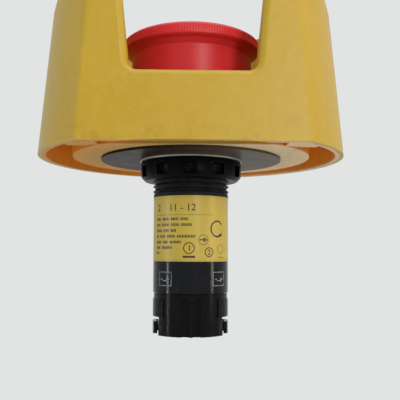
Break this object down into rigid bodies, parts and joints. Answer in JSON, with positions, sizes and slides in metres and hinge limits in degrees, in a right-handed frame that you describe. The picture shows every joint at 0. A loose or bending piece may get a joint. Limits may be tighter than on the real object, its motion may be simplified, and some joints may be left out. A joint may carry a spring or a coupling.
{
  "type": "emergency stop push button",
  "caption": "Panel-mount emergency-stop push button: red mushroom head in a yellow D-shaped guard, black threaded barrel with locking ring and screw terminals.",
  "frame": {"origin": "on the barrel's axis, in the plane of the guard's rim, which is the panel's front face", "axes": "+Z along the barrel out of the panel towards the button, -Y towards the guard's flat front, +X to the right seen from the flat front"},
  "size_m": [0.0878, 0.0771, 0.0962],
  "materials": {
    "guard_yellow": "moulded, satin",
    "button_red": "moulded, semi-gloss",
    "housing_black": "moulded, satin",
    "inner_plastic": "moulded, natural",
    "seal_rubber": "matte",
    "label_film": "printed film, satin",
    "spring_steel": "drawn wire",
    "zinc_steel": "zinc plated",
    "contact_brass": "stamped strip",
    "contact_silver": "silver contact rivets"
  },
  "bodies": {
    "housing": {"guard_shroud": "guard_yellow", "panel_gasket": "seal_rubber", "bezel_gasket": "seal_rubber", "barrel_housing": "housing_black", "rating_label": "label_film", "bezel_collar": "housing_black", "latch_ring": "zinc_steel", "spring_seat": "zinc_steel", "return_spring": "spring_steel", "fixed_contacts": "contact_silver", "terminal_plates": "contact_brass", "clamp_washers": "zinc_steel", "terminal_screws": "zinc_steel", "terminal_base": "housing_black"},
    "washer": {"lock_washer": "zinc_steel"},
    "ring": {"locking_ring": "housing_black"},
    "plunger": {"plunger": "inner_plastic", "plunger_seal": "seal_rubber", "reset_spring": "spring_steel", "contact_carrier": "inner_plastic", "contact_bridges": "contact_brass", "moving_contacts": "contact_silver", "bridge_springs": "spring_steel"},
    "button": {"button_head": "button_red", "button_insert": "button_red", "head_screw": "zinc_steel", "stem": "inner_plastic", "stem_clip": "spring_steel"}
  },
  "joints": [
    {"name": "button_press", "type": "slide", "parent": "housing", "child": "plunger", "axis": [0, 0, -1], "range_m": [0, 0.004], "stiffness_N_per_m": 1800, "springref_m": -0.004, "deforming": ["return_spring"]},
    {"name": "button_turn", "type": "hinge", "parent": "plunger", "child": "button", "pos_m": [0, 0, 0.03], "axis": [0, 0, -1], "range_deg": [0, 45], "stiffness_Nm_per_rad": 0.05, "springref_deg": -17.19},
    {"name": "ring_travel", "type": "slide", "parent": "housing", "child": "washer", "axis": [0, 0, -1], "range_m": [0, 0.006]},
    {"name": "ring_turn", "type": "hinge", "parent": "washer", "child": "ring", "pos_m": [0, 0, -0.0045], "axis": [0, 0, -1], "range_deg": [0, 1440]}
  ],
  "couplings": [
    {"joint": "ring_turn", "follows": "ring_travel", "rad_per_m": 4188.8}
  ]
}
